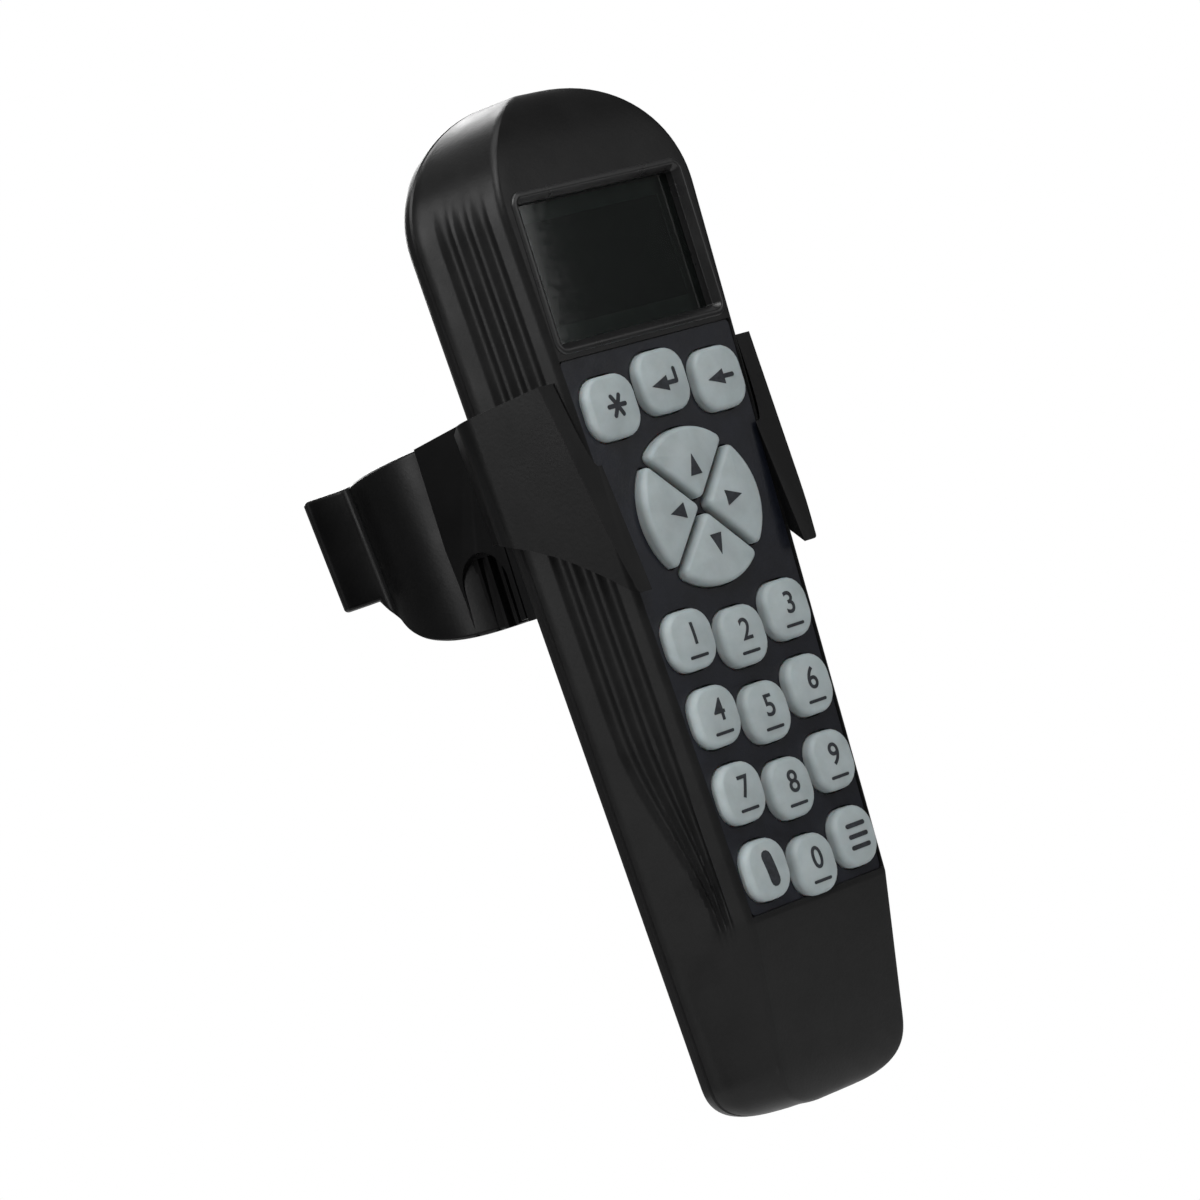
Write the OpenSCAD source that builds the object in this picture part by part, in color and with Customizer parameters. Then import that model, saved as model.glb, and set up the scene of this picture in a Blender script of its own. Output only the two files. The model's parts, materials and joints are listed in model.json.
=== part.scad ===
// Telescope hand controller: a handset with a display and nineteen keys, in a cradle
// that slides onto a clamp for a tripod leg.
// The origin is the centre of the leg clamp's bore. +Z runs up the handset, and its
// keys face -Y. All sizes are in millimetres.

/* [Handset] */
// Length of the handset
handset_length = 178; // [170:1:186]
// Height of the handset's top above the holder's level
top_z = 74; // [72:0.5:76]
// Distance of the front face from the clamp centre
front_distance = 53; // [53:0.5:56]
// Depth of the handset from front to back
handset_depth = 27; // [26:0.5:28]
// Depth of the front shell, from the front face to the seam
seam_depth = 16; // [15:0.5:17]
// Half width of the front face, at the holder's level
front_half = 21.2; // [20.8:0.1:22]
// Half width at the seam, at the holder's level
seam_half = 27.2; // [26:0.1:28]
// Growth of each half width for every millimetre of height
taper = 0.045; // [0.035:0.001:0.05]
// Height of the domed top end
dome_height = 22; // [20:1:24]
// Height of the rounded lower end
heel_height = 9; // [8:0.5:10]
// Slope of the front face below the keys, in degrees
heel_slope = 12; // [11:0.5:12.5]
// Wall thickness of both shells
wall = 2.4; // [2.2:0.1:2.6]

/* [Window] */
// Width of the window bezel
bezel_width = 41; // [38:0.5:42]
// Height of the window bezel
bezel_height = 27.5; // [26:0.5:29]
// Height of the window's middle above the holder's level
window_z = 42.5; // [42:0.1:43]
// Width of the bezel's border
bezel_border = 1.6; // [1.2:0.1:2]

/* [Keys] */
// Radius of the round direction pad
pad_radius = 13.8; // [13:0.1:14]
// Height of the direction pad's centre
pad_z = -2; // [-2.4:0.1:-1.6]
// Gap between the direction pad's quadrants
pad_gap = 1.3; // [1.2:0.1:1.6]
// Height of the outer keys of the row under the window
arch_row_z = 18; // [17.8:0.1:18.2]
// Height of the outer keys of the first digit row
first_row_z = -23; // [-23.4:0.1:-22.8]
// Distance between the digit rows
row_pitch = 13.45; // [13.2:0.05:13.6]
// Height by which the middle key of a row is set off from its neighbours
bow = 2; // [1:0.1:2.2]
// How far a key stands proud of the front face
key_proud = 2; // [1.5:0.1:2.2]
// How far a key travels when it is pressed
key_travel = 1; // [0.8:0.1:1]

/* [Holder] */
// Radius of the tripod leg that the clamp takes
leg_radius = 16; // [15.8:0.1:16]
// Wall of the clamp's ring
ring_wall = 3.4; // [3:0.1:3.6]
// Height of the clamp's ring at its lips
ring_height = 20.8; // [20:0.2:22]
// Height of the clamp's top edge above its centre, along the leg
clamp_top = 17; // [16.5:0.1:17.5]
// Depth of the clamp's lowest edge below its centre, along the leg
clamp_low = 18; // [17.5:0.1:18.5]
// Lean of the leg away from the handset, in degrees
lean = 6; // [5:0.5:6.5]
// Depth of the holder's level below the clamp centre
hang = 4.3; // [4:0.1:4.6]
// Thickness of the cradle
cradle_wall = 2.6; // [2.4:0.1:2.8]
// Height of the cradle's top edge above the holder's level
cradle_top = 23; // [22:0.5:24]
// Height of the pointed lower corners of the cradle's arms
cradle_tip = -13; // [-14:0.5:-12]
// Half width of the space between the arms' lips in front of the handset
lip_half = 19.2; // [19:0.1:19.8]

/* [Hidden] */
bottom_z = top_z - handset_length;
dome_z = top_z - dome_height;
heel_z = bottom_z + heel_height;
slope_z = -71;
front_y = -front_distance;
seam_y = front_y + seam_depth;
back_y = front_y + handset_depth;
back_slope_z = -20;
back_slope = 2;
back_inset = 5.5;
front_edge_r = 2.4;
seam_edge_r = 5;
back_edge_r = 8;
disc_h = 0.2;
slack = 0.3;
eps = 0.05;
far = 200;

// Layers behind the front face, as distances from it.
panel_recess = 0.8;
panel_t = 0.4;
flange_front = wall + slack;
flange_back = flange_front + 1.1;
pill_end = flange_back + 0.8;
pad_pill = 8.4;
board_front = 5.8;
board_t = 1.6;
board_back = board_front + board_t;
mat_t = 0.7;
contact_t = 0.1;
lens_t = 1.5;
lcd_front = wall + lens_t + 0.4;
lcd_frame_t = 3.6;
lcd_board_front = lcd_front + lcd_frame_t;
lcd_board_t = 1.2;
lcd_z = window_z;

// Board outline and the sockets in the lower end.
board_top = 23;
board_bottom = -74;
board_half = 19;
jack_board_y = seam_y + 2.5;
jack_board_t = 1.3;
jack_board_top = -67;
jack_mouth_z = bottom_z + 2.2;
jack_depth = 10;
jack_length = 15;
cord_jack_w = 13;
serial_jack_w = 10;
cord_jack_x = -5.2;
serial_jack_x = 7.6;
boss_r = 2.9;
pilot_r = 1.35;
screw_r = 1.3;
screw_head_r = 2.5;
screw_head_h = 1.8;
board_post_r = 1.8;
board_screw_r = 0.95;
board_fix = [[-16.5, 9.5], [16.5, 9.5], [-13, -71.4], [13, -71.4]];
case_screws_at = [[-12, 62], [12, 62], [-13.5, -80], [13.5, -80]];

// Tongue on the cradle and its slot in the clamp.
tongue_neck = 5;
tongue_head = 8;
tongue_bottom = -7.7;
tongue_top = 14;
slot_stop = -8;

function key_pitch(z) = 12.6 + 0.022 * z;
function row_z(row) = first_row_z - row * row_pitch;
function digit(n) = [str("key_", n), (n - 1) % 3 - 1, row_z(floor((n - 1) / 3))];
// Every key outside the direction pad: its name, its column and its row's height.
ROW_KEYS = concat(
    [["key_align", -1, arch_row_z], ["key_enter", 0, arch_row_z], ["key_back", 1, arch_row_z]],
    [for (n = [1:9]) digit(n)],
    [["key_info", -1, row_z(3)], ["key_0", 0, row_z(3)], ["key_menu", 1, row_z(3)]]
);
// The direction pad's quadrants: the name and the turn from the upper one.
PAD_KEYS = [["key_up", 0], ["key_left", 90], ["key_down", 180], ["key_right", 270]];
function is_arch(z) = z > 0;
function key_x(key) = key[1] * (is_arch(key[2]) ? 13.2 : key_pitch(key[2]));
function key_z(key) = key[2] + (key[1] == 0 ? bow * (is_arch(key[2]) ? 1 : -1) : 0);
function key_w(key) = is_arch(key[2]) ? 11.4 : key_pitch(key[2]) - 1.5;
function key_h(key) = is_arch(key[2]) ? 11 : 10.4;

// ---- Body of the handset ----

function front_at(z) = front_y + max(0, slope_z - z) * tan(heel_slope);
function back_at(z) = back_y - max(0, back_slope_z - z) * tan(back_slope);
function half_at(half, z) = half + taper * z;
function clear_root(v, power) = pow(max(0, v), 1 / power);

// A pair of thin upright discs, mirrored across the middle.
module disc_pair(half, y, z, r) {
    r_fit = max(0.2, min(r, half));
    for (side = [-1, 1])
        translate([side * max(0, half - r_fit), y, z])
            cylinder(r = r_fit, h = disc_h, center = true, $fn = 24);
}

// Edge discs of one cross-section, scaled in width and depth and moved in by inset.
module front_edges(z, wide, deep, inset) {
    r = front_edge_r * deep;
    y = seam_y - (seam_y - front_at(z)) * deep + inset;
    disc_pair(half_at(front_half, z) * wide - inset, y + r, z, r);
}

module seam_edges(z, wide, inset) {
    disc_pair(half_at(seam_half, z) * wide - inset, seam_y, z, seam_edge_r * wide);
}

module back_edges(z, wide, deep, inset) {
    r = back_edge_r * deep;
    y = seam_y + (back_at(z) - seam_y) * deep - inset;
    disc_pair(half_at(seam_half - back_inset, z) * wide - inset, y - r, z, r);
}

module body_section(z, wide, deep, inset) {
    front_edges(z, wide, deep, inset);
    seam_edges(z, wide, inset);
    back_edges(z, wide, deep, inset);
}

// The whole body as one solid. A positive inset gives the cavity, a negative one a cradle.
module body_solid(inset) {
    hull() {
        for (a = [0:14:84])
            body_section(dome_z + (dome_height - inset) * sin(a), cos(a), clear_root(cos(a), 2.2), inset);
        back_edges(back_slope_z, 1, 1, inset);
        front_edges(slope_z, 1, 1, inset);
        for (a = [0, 25, 45, 60, 75, 84]) {
            wide = clear_root(1 - pow(sin(a), 3), 3);
            body_section(heel_z - (heel_height - inset) * sin(a), wide, clear_root(wide, 2.8), inset);
        }
    }
}

module half_space(front) {
    y = front ? seam_y - far : seam_y;
    translate([-far / 2, y, -far]) cube([far, far, 2 * far]);
}

// ---- Flat shapes that face the front ----

// Extrudes a flat XZ shape along Y, from one depth behind the front face to another.
module layer(from, to) {
    translate([0, front_y + to, 0])
        rotate([90, 0, 0]) linear_extrude(to - from) children();
}

module rounded(w, h, r) {
    square([w - 2 * r, h], center = true);
    square([w, h - 2 * r], center = true);
    for (x = [-1, 1], y = [-1, 1])
        translate([x * (w / 2 - r), y * (h / 2 - r)]) circle(r, $fn = 32);
}

module key_outline(key, grow, grow_h) {
    w = key_w(key) + 2 * grow;
    h = key_h(key) + 2 * grow_h;
    translate([key_x(key), key_z(key)]) rounded(w, h, 3.9 + grow);
}

// A quadrant of the direction pad, with its inner tip cut off.
module pad_outline(turn, grow) {
    apex = (pad_gap / 2 - grow) * sqrt(2);
    reach = pad_radius + 3;
    translate([0, pad_z]) rotate(turn) difference() {
        intersection() {
            circle(pad_radius + grow, $fn = 72);
            polygon([[0, apex], [reach, apex + reach], [-reach, apex + reach]]);
        }
        circle(1.6 - grow, $fn = 24);
    }
}

module all_key_outlines(grow) {
    for (key = ROW_KEYS) key_outline(key, grow, grow);
    for (key = PAD_KEYS) pad_outline(key[1], grow);
}

// The panel between the raised rims, which follows the body's taper.
module panel_outline(inset) {
    top = window_z - bezel_height / 2 - 1.2 - inset;
    low = slope_z + 0.8 + inset;
    rim = 1.5 + inset;
    polygon([
        [-half_at(front_half, top) + rim, top], [half_at(front_half, top) - rim, top],
        [half_at(front_half, low) - rim, low], [-half_at(front_half, low) + rim, low]
    ]);
}

// ---- Case ----

module case_boss(at, from_y, to_y) {
    translate([at[0], to_y, at[1]]) rotate([90, 0, 0]) cylinder(r = boss_r, h = to_y - from_y, $fn = 40);
}

module screw_hole(at, from_y, to_y, r) {
    translate([at[0], to_y, at[1]]) rotate([90, 0, 0]) cylinder(r = r, h = to_y - from_y, $fn = 32);
}

// Room for both sockets in the shells, with their openings in the lower end.
module jack_spaces() {
    front = jack_board_y - jack_depth;
    for (jack = [[cord_jack_x, cord_jack_w, 10], [serial_jack_x, serial_jack_w, 8]]) {
        translate([jack[0] - jack[1] / 2 - 0.1, front - 0.1, jack_mouth_z - 0.1])
            cube([jack[1] + 0.2, jack_depth + 0.2, jack_length]);
        translate([jack[0] - jack[2] / 2, front + 0.8, bottom_z - 3]) cube([jack[2], 8.2, 8]);
    }
}

module front_shell() {
    color([0.09, 0.09, 0.095]) difference() {
        union() {
            difference() {
                intersection() {
                    body_solid(0);
                    half_space(true);
                }
                body_solid(wall);
            }
            intersection() {
                body_solid(wall / 2);
                for (at = case_screws_at) case_boss(at, front_y, seam_y);
            }
            for (at = board_fix)
                screw_hole(at, front_y + wall - 0.2, front_y + board_front, board_post_r);
        }
        layer(-1, wall + 1) translate([0, window_z]) rounded(bezel_width + 0.3, bezel_height + 0.3, 2.2);
        layer(-1, panel_recess) panel_outline(0);
        layer(0, flange_back + key_travel + 0.4) all_key_outlines(0.25);
        layer(wall - eps, wall + lens_t + eps) lens_outline(0.1);
        for (at = case_screws_at)
            screw_hole(at, front_y + 6, seam_y + 1, pilot_r);
        for (at = board_fix)
            screw_hole(at, front_y + 2, front_y + board_front + 1, board_screw_r + 0.05);
        jack_spaces();
    }
}

module rear_shell() {
    color([0.085, 0.085, 0.09]) difference() {
        union() {
            difference() {
                intersection() {
                    body_solid(0);
                    half_space(false);
                }
                body_solid(wall);
            }
            intersection() {
                body_solid(wall / 2);
                for (at = case_screws_at) case_boss(at, seam_y, back_y);
            }
        }
        for (at = case_screws_at) {
            screw_hole(at, seam_y - 1, back_y + 1, screw_r + 0.2);
            screw_hole(at, back_at(at[1]) - 4, back_y + 1, screw_head_r + 0.3);
        }
        jack_spaces();
    }
}

module case_screws() {
    color("dimgray") for (at = case_screws_at) {
        seat = back_at(at[1]) - 4;
        difference() {
            union() {
                screw_hole(at, front_y + 8, seat + eps, screw_r);
                screw_hole(at, seat, seat + screw_head_h, screw_head_r);
            }
            translate([at[0], seat + screw_head_h, at[1]]) {
                cube([3.4, 1.6, 0.7], center = true);
                cube([0.7, 1.6, 3.4], center = true);
            }
        }
    }
}

module key_panel() {
    color([0.07, 0.08, 0.115]) layer(panel_recess - panel_t, panel_recess) difference() {
        panel_outline(0.1);
        all_key_outlines(0.3);
    }
}

// ---- Display ----

module window_bezel() {
    color([0.13, 0.13, 0.135]) layer(-0.2, wall) translate([0, window_z]) difference() {
        rounded(bezel_width, bezel_height, 2);
        rounded(bezel_width - 2 * bezel_border, bezel_height - 2 * bezel_border, 1.2);
    }
}

module lens_outline(grow) {
    translate([0, window_z]) rounded(bezel_width + 1 + 2 * grow, bezel_height + 1.5 + 2 * grow, 1.5);
}

module window_lens() {
    color([0.1, 0.13, 0.12, 0.6]) layer(wall, wall + lens_t) lens_outline(0);
}

module lcd_frame() {
    color("silver") difference() {
        layer(lcd_front, lcd_front + lcd_frame_t) translate([0, lcd_z]) rounded(40, 26, 1);
        layer(lcd_front - 1, lcd_front + 1) translate([0, lcd_z]) square([34, 18], center = true);
        layer(lcd_front + 0.4, lcd_front + lcd_frame_t + 1) translate([0, lcd_z])
            square([38.4, 24.4], center = true);
    }
}

module lcd_glass() {
    color([0.35, 0.42, 0.38]) layer(lcd_front + 0.4, lcd_front + 2.2) translate([0, lcd_z])
        square([38, 24], center = true);
}

module lcd_backlight() {
    color("white") layer(lcd_front + 2.2, lcd_front + lcd_frame_t) translate([0, lcd_z])
        square([37, 22], center = true);
}

// Four fixings of the display's board.
lcd_fix = [[-19.5, 28.2], [19.5, 28.2], [-19.5, 56.8], [19.5, 56.8]];

module lcd_board() {
    color([0.05, 0.3, 0.16]) layer(lcd_board_front, lcd_board_front + lcd_board_t) difference() {
        translate([0, lcd_z]) rounded(44, 33, 1.5);
        for (at = lcd_fix) translate(at) circle(1.1, $fn = 24);
    }
}

module board_screw(at, seat, head, length) {
    screw_hole(at, front_y + seat - length, front_y + seat + eps, board_screw_r);
    screw_hole(at, front_y + seat, front_y + seat + head, 1.7);
}

module lcd_screws() {
    color("silver") for (at = lcd_fix)
        board_screw(at, lcd_board_front + lcd_board_t, 1.1, 3);
}

// Flat cable from the back of the main board to the front of the display's board.
module lcd_ribbon() {
    color([0.75, 0.7, 0.55]) layer(board_back, lcd_board_front) translate([0, 24.3])
        square([30, 8.6], center = true);
}

// ---- Main board ----

module board_outline() {
    polygon([
        [-board_half, board_top], [board_half, board_top],
        [board_half - 3.4, board_bottom], [-board_half + 3.4, board_bottom]
    ]);
}

module main_board() {
    color([0.04, 0.28, 0.14]) layer(board_front, board_back) difference() {
        board_outline();
        for (at = board_fix) translate(at) circle(1.1, $fn = 24);
    }
}

module board_screws() {
    color("silver") for (at = board_fix)
        board_screw(at, board_back, 1.1, 4);
}

module chip(x, z, w, h, t) {
    layer(board_back, board_back + t) translate([x, z]) square([w, h], center = true);
    layer(board_back, board_back + 0.5) translate([x, z]) for (side = [-1, 1], i = [-2:2])
        translate([side * (w / 2 + 0.5), i * h / 6]) square([1.2, 0.5], center = true);
}

module controller_chip() {
    color([0.1, 0.1, 0.1]) chip(0, -14, 14, 14, 1.6);
}

module support_chips() {
    color([0.12, 0.12, 0.12]) {
        chip(0, 12, 9, 6, 1.5);
        chip(-7, -38, 6, 8, 1.5);
        chip(8, -38, 6, 8, 1.5);
    }
}

module crystal() {
    color("silver") layer(board_back, board_back + 3.2) translate([0, -26.5]) rounded(10, 4.2, 2);
}

module capacitors() {
    color([0.15, 0.17, 0.25]) for (at = [[-12, -4], [12, -4], [-11, -54], [11, -54]])
        screw_hole(at, front_y + board_back, front_y + board_back + 5, 2.5);
}

// Places its children behind every key, where the key's stem meets the board.
module at_every_stem() {
    for (key = ROW_KEYS) translate([key_x(key), key_z(key)]) children();
    for (key = PAD_KEYS) translate([0, pad_z]) rotate(key[1]) translate([0, pad_pill]) children();
}

module key_contacts() {
    color("gold") layer(board_front - contact_t, board_front) at_every_stem() circle(2.2, $fn = 24);
}

// Small lamps on the board that light the keys, in pairs between the rows.
led_rows = concat([10.4, -17.5], [for (row = [0:2]) row_z(row) - 7.2]);
led_fix = [for (z = led_rows, side = [-1, 1]) [side * 6, z]];

module key_leds() {
    color("white") for (at = led_fix)
        layer(board_front - 0.6, board_front) translate(at) square([1.2, 0.8], center = true);
}

module keypad_mat() {
    color([0.6, 0.62, 0.62]) layer(board_front - mat_t, board_front) difference() {
        polygon([
            [-board_half + 0.6, board_top - 0.5], [board_half - 0.6, board_top - 0.5],
            [board_half - 4, board_bottom + 5.4], [-board_half + 4, board_bottom + 5.4]
        ]);
        at_every_stem() circle(2.6, $fn = 24);
        for (at = led_fix) translate(at) square([1.6, 1.2], center = true);
        for (at = board_fix) translate(at) circle(2, $fn = 24);
    }
}

// ---- Sockets ----

module jack_board() {
    shoulder_z = -84.5;
    lower_z = jack_mouth_z + 3;
    color([0.04, 0.28, 0.14]) {
        translate([-12.8, jack_board_y, lower_z])
            cube([25.6, jack_board_t, shoulder_z - lower_z]);
        translate([-9.5, jack_board_y, shoulder_z - eps])
            cube([19, jack_board_t, jack_board_top - shoulder_z + eps]);
    }
}

module board_link() {
    link_z = -71;
    start = front_y + board_back;
    color([0.12, 0.12, 0.12]) translate([-9, start, link_z]) cube([18, jack_board_y - start, 2.4]);
    color("gold") for (i = [0:6])
        translate([(i - 3) * 2.4 - 0.3, start, link_z - 1.6]) cube([0.6, jack_board_y - start, 0.6]);
}

// A modular socket whose mouth faces down, with the slot for the plug's latch.
module jack(x, w, cavity_w) {
    cavity_h = 6.7;
    difference() {
        translate([x - w / 2, jack_board_y - jack_depth, jack_mouth_z]) cube([w, jack_depth, jack_length]);
        translate([x - cavity_w / 2, jack_board_y - jack_depth + 2, jack_mouth_z - 1])
            cube([cavity_w, cavity_h, 13]);
        translate([x - 1.7, jack_board_y - jack_depth + 1, jack_mouth_z - 1]) cube([3.4, 2, 9]);
    }
}

// Springy contact wires along the rear wall of a socket.
module jack_contacts(x, count) {
    wire = 0.5;
    y = jack_board_y - jack_depth + 2 + 6.7 - wire;
    for (i = [0:count - 1])
        translate([x + (i - (count - 1) / 2) * 1.02 - wire / 2, y, jack_mouth_z + 1.5])
            cube([wire, wire, 10.5]);
}

module cord_jack() {
    color([0.06, 0.06, 0.06]) jack(cord_jack_x, cord_jack_w, 9.8);
}

module cord_jack_contacts() {
    color("gold") jack_contacts(cord_jack_x, 6);
}

module serial_jack() {
    color([0.06, 0.06, 0.06]) jack(serial_jack_x, serial_jack_w, 7.7);
}

module serial_jack_contacts() {
    color("gold") jack_contacts(serial_jack_x, 4);
}

// ---- Keys ----

pale = [0.74, 0.78, 0.78];

module key_cap(key) {
    color(pale) {
        hull() {
            layer(-key_proud + 0.7, -key_proud + 0.72) key_outline(key, 0, 0);
            layer(-key_proud, -key_proud + 0.02) key_outline(key, -0.9, -0.9);
        }
        layer(-key_proud + 0.7, flange_back) key_outline(key, 0, 0);
        layer(flange_front, flange_back) translate([key_x(key), key_z(key)])
            square([key_w(key) - 5, key_h(key) + 1.7], center = true);
        layer(flange_back, pill_end) translate([key_x(key), key_z(key)]) circle(2, $fn = 24);
    }
}

module pad_quadrant(turn) {
    color(pale) {
        layer(-key_proud + 0.5, flange_back) pad_outline(turn, 0);
        layer(-key_proud, -key_proud + 0.5) pad_outline(turn, -0.45);
        layer(flange_front, flange_back) translate([0, pad_z]) rotate(turn) intersection() {
            circle(pad_radius + 0.9, $fn = 72);
            translate([-5, 8]) square([10, 8]);
        }
        layer(flange_back, pill_end) translate([0, pad_z]) rotate(turn)
            translate([0, pad_pill]) circle(2, $fn = 24);
    }
}

// ---- Holder ----

module along_x(width) {
    translate([-width / 2, 0, 0]) rotate([90, 0, 90]) linear_extrude(width) children();
}

cradle_back = back_y + slack + cradle_wall;
arm_tip_y = front_y - slack - cradle_wall;
arm_top_y = front_y + 1.5;
back_low = 2;
tab_half = 17.5;
tab_low = -12;

module hung() {
    translate([0, 0, -hang]) children();
}

// Side view of the cradle, in Y and Z: its arms reach forwards and down to pointed lips.
module cradle_profile() {
    polygon([
        [arm_tip_y, cradle_tip], [arm_top_y, cradle_top + 1.5], [cradle_back + 1, cradle_top - 1.5],
        [cradle_back + 1, back_low], [seam_y + 4, back_low], [seam_y - 7, -2.7]
    ]);
}

module holder_cradle() {
    color([0.1, 0.1, 0.105]) {
        hung() difference() {
            intersection() {
                hull() for (z = [-20, 40]) body_section(z, 1, 1, -slack - cradle_wall);
                union() {
                    along_x(90) cradle_profile();
                    translate([-tab_half, back_y - 1, tab_low]) cube([2 * tab_half, 6, 20]);
                }
            }
            body_solid(-slack);
            translate([-lip_half, front_y - 10, -30]) cube([2 * lip_half, 20, 70]);
        }
        translate([-tongue_neck, cradle_back - eps, tongue_bottom])
            cube([2 * tongue_neck, 2.6 + eps, tongue_top - tongue_bottom]);
        translate([-tongue_head, cradle_back + 2.5, tongue_bottom])
            cube([2 * tongue_head, 1.6, tongue_top - tongue_bottom]);
    }
}

ring_r = leg_radius + ring_wall;
opening_half = 50;
clamp_face = cradle_back + slack;

// Side view of the clamp, in Y and Z of the leg: its lower edge drops towards the handset.
module clamp_profile() {
    lip_y = ring_r * cos(opening_half) - 1;
    lip_z = clamp_top - ring_height;
    polygon(concat(
        [[-40, clamp_top], [40, clamp_top], [40, lip_z]],
        [for (a = [0:15:90]) [lip_y - 30 * (1 - cos(a)), lip_z - (clamp_low + lip_z) * sin(a)]],
        [[-40, -clamp_low]]
    ));
}

module clamp_ring() {
    difference() {
        cylinder(r = ring_r, h = 4 * clamp_top, center = true, $fn = 96);
        rotate(90) linear_extrude(5 * clamp_top, center = true)
            polygon([
                [0, 0], [60 * cos(opening_half), -60 * sin(opening_half)],
                [60, 0], [60 * cos(opening_half), 60 * sin(opening_half)]
            ]);
    }
}

module clamp_lip(side) {
    rotate(90 + side * (opening_half + 4))
        translate([leg_radius + 0.8, -1.3, clamp_top - ring_height]) cube([10.4, 2.6, ring_height]);
}

// Block between the ring and the cradle, with an arched recess in each side.
module clamp_block() {
    half_w = 17.5;
    depth = 14.4;
    recess_w = 3.5;
    arch_r = 5.8;
    arch_top = -2.4;
    difference() {
        translate([-half_w, clamp_face, -2 * clamp_low]) cube([2 * half_w, depth, 4 * clamp_low]);
        for (side = [-1, 1]) translate([side * half_w, clamp_face + 7.1, arch_top - arch_r]) {
            rotate([0, 90, 0]) cylinder(r = arch_r, h = 2 * recess_w, center = true, $fn = 48);
            translate([-recess_w, -arch_r, -50]) cube([2 * recess_w, 2 * arch_r, 50]);
        }
    }
}

module leg_clamp() {
    color([0.1, 0.1, 0.105]) {
        difference() {
            union() {
                rotate([-lean, 0, 0]) intersection() {
                    clamp_ring();
                    along_x(90) clamp_profile();
                }
                intersection() {
                    clamp_block();
                    rotate([-lean, 0, 0]) along_x(90) clamp_profile();
                }
            }
            rotate([-lean, 0, 0]) cylinder(r = leg_radius, h = 100, center = true, $fn = 96);
            translate([-tongue_neck - slack, clamp_face - 1, slot_stop])
                cube([2 * (tongue_neck + slack), 4, 40]);
            translate([-tongue_head - slack, cradle_back + 2.5 - slack, slot_stop])
                cube([2 * (tongue_head + slack), 1.6 + 2 * slack, 40]);
        }
        for (side = [-1, 1]) rotate([-lean, 0, 0]) clamp_lip(side);
    }
}

hung() front_shell();
hung() rear_shell();
hung() key_panel();
hung() window_bezel();
hung() window_lens();
hung() lcd_glass();
hung() lcd_frame();
hung() lcd_backlight();
hung() lcd_board();
hung() lcd_ribbon();
hung() lcd_screws();
hung() main_board();
hung() controller_chip();
hung() support_chips();
hung() crystal();
hung() capacitors();
hung() key_contacts();
hung() key_leds();
hung() keypad_mat();
hung() board_screws();
hung() case_screws();
hung() jack_board();
hung() board_link();
hung() cord_jack();
hung() cord_jack_contacts();
hung() serial_jack();
hung() serial_jack_contacts();
holder_cradle();
leg_clamp();
for (key = ROW_KEYS)
    hung() key_cap(key);
for (key = PAD_KEYS)
    hung() pad_quadrant(key[1]);
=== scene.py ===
import json
import math

import bmesh
import bpy
from mathutils import Matrix, Vector


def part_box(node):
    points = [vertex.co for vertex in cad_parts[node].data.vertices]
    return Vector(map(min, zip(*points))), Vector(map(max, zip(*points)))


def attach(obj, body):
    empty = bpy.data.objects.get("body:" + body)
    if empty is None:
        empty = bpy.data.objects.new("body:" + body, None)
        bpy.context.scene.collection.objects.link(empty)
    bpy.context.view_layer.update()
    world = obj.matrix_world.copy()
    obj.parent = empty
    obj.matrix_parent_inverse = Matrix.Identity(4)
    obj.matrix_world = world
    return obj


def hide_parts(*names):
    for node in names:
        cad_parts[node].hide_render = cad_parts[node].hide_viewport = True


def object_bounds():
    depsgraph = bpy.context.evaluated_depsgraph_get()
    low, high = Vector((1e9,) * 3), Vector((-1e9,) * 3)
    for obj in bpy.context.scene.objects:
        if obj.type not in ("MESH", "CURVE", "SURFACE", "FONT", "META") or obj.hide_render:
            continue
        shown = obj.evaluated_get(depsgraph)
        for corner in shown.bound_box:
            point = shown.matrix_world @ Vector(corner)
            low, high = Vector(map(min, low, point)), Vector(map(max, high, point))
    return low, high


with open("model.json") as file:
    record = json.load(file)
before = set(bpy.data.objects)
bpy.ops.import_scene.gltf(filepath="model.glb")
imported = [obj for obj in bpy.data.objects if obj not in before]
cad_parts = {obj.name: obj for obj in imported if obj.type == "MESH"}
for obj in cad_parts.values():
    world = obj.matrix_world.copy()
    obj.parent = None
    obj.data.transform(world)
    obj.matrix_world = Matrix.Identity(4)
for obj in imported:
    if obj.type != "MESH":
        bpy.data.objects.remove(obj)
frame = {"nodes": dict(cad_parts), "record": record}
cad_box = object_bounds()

MM = 0.001


# ---- Sizes from the frame ----

def node_box(node):
    """Lowest and highest corner of a CAD node, in millimetres."""
    low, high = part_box(node)
    return low / MM, high / MM


shell_low, shell_high = node_box("front_shell")
rear_high = node_box("rear_shell")[1]
bezel_low, bezel_high = node_box("window_bezel")
panel_low, panel_high = node_box("key_panel")
cradle_low, cradle_high = node_box("holder_cradle")

FRONT_Y, SEAM_Y, BACK_Y = shell_low.y, shell_high.y, rear_high.y
TOP_Z, BOTTOM_Z = shell_high.z, shell_low.z
# Height of the level on the handset at which its half widths are given, below its top
LEVEL = TOP_Z - 73.98
# Heights of the dome and of the rounded heel
DOME_H, HEEL_H = 22.0, 9.0
DOME_Z, HEEL_Z = TOP_Z - DOME_H, BOTTOM_Z + HEEL_H
# Growth of each half width for every millimetre of height
TAPER = 0.045
# Half widths of the front face and the seam, and how much narrower the back is than the seam
FRONT_HALF, SEAM_HALF, BACK_INSET = 21.2, 27.2, 5.5
# Where the front and the back start to slope, and how steeply
SLOPE_Z, SLOPE = LEVEL - 71, math.radians(12)
BACK_SLOPE_Z, BACK_SLOPE = LEVEL - 20, math.radians(2)
# Radii of the lengthwise edges
FRONT_EDGE, SEAM_EDGE, BACK_EDGE = 1.9, 5.0, 8.0
WALL = 2.4
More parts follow.
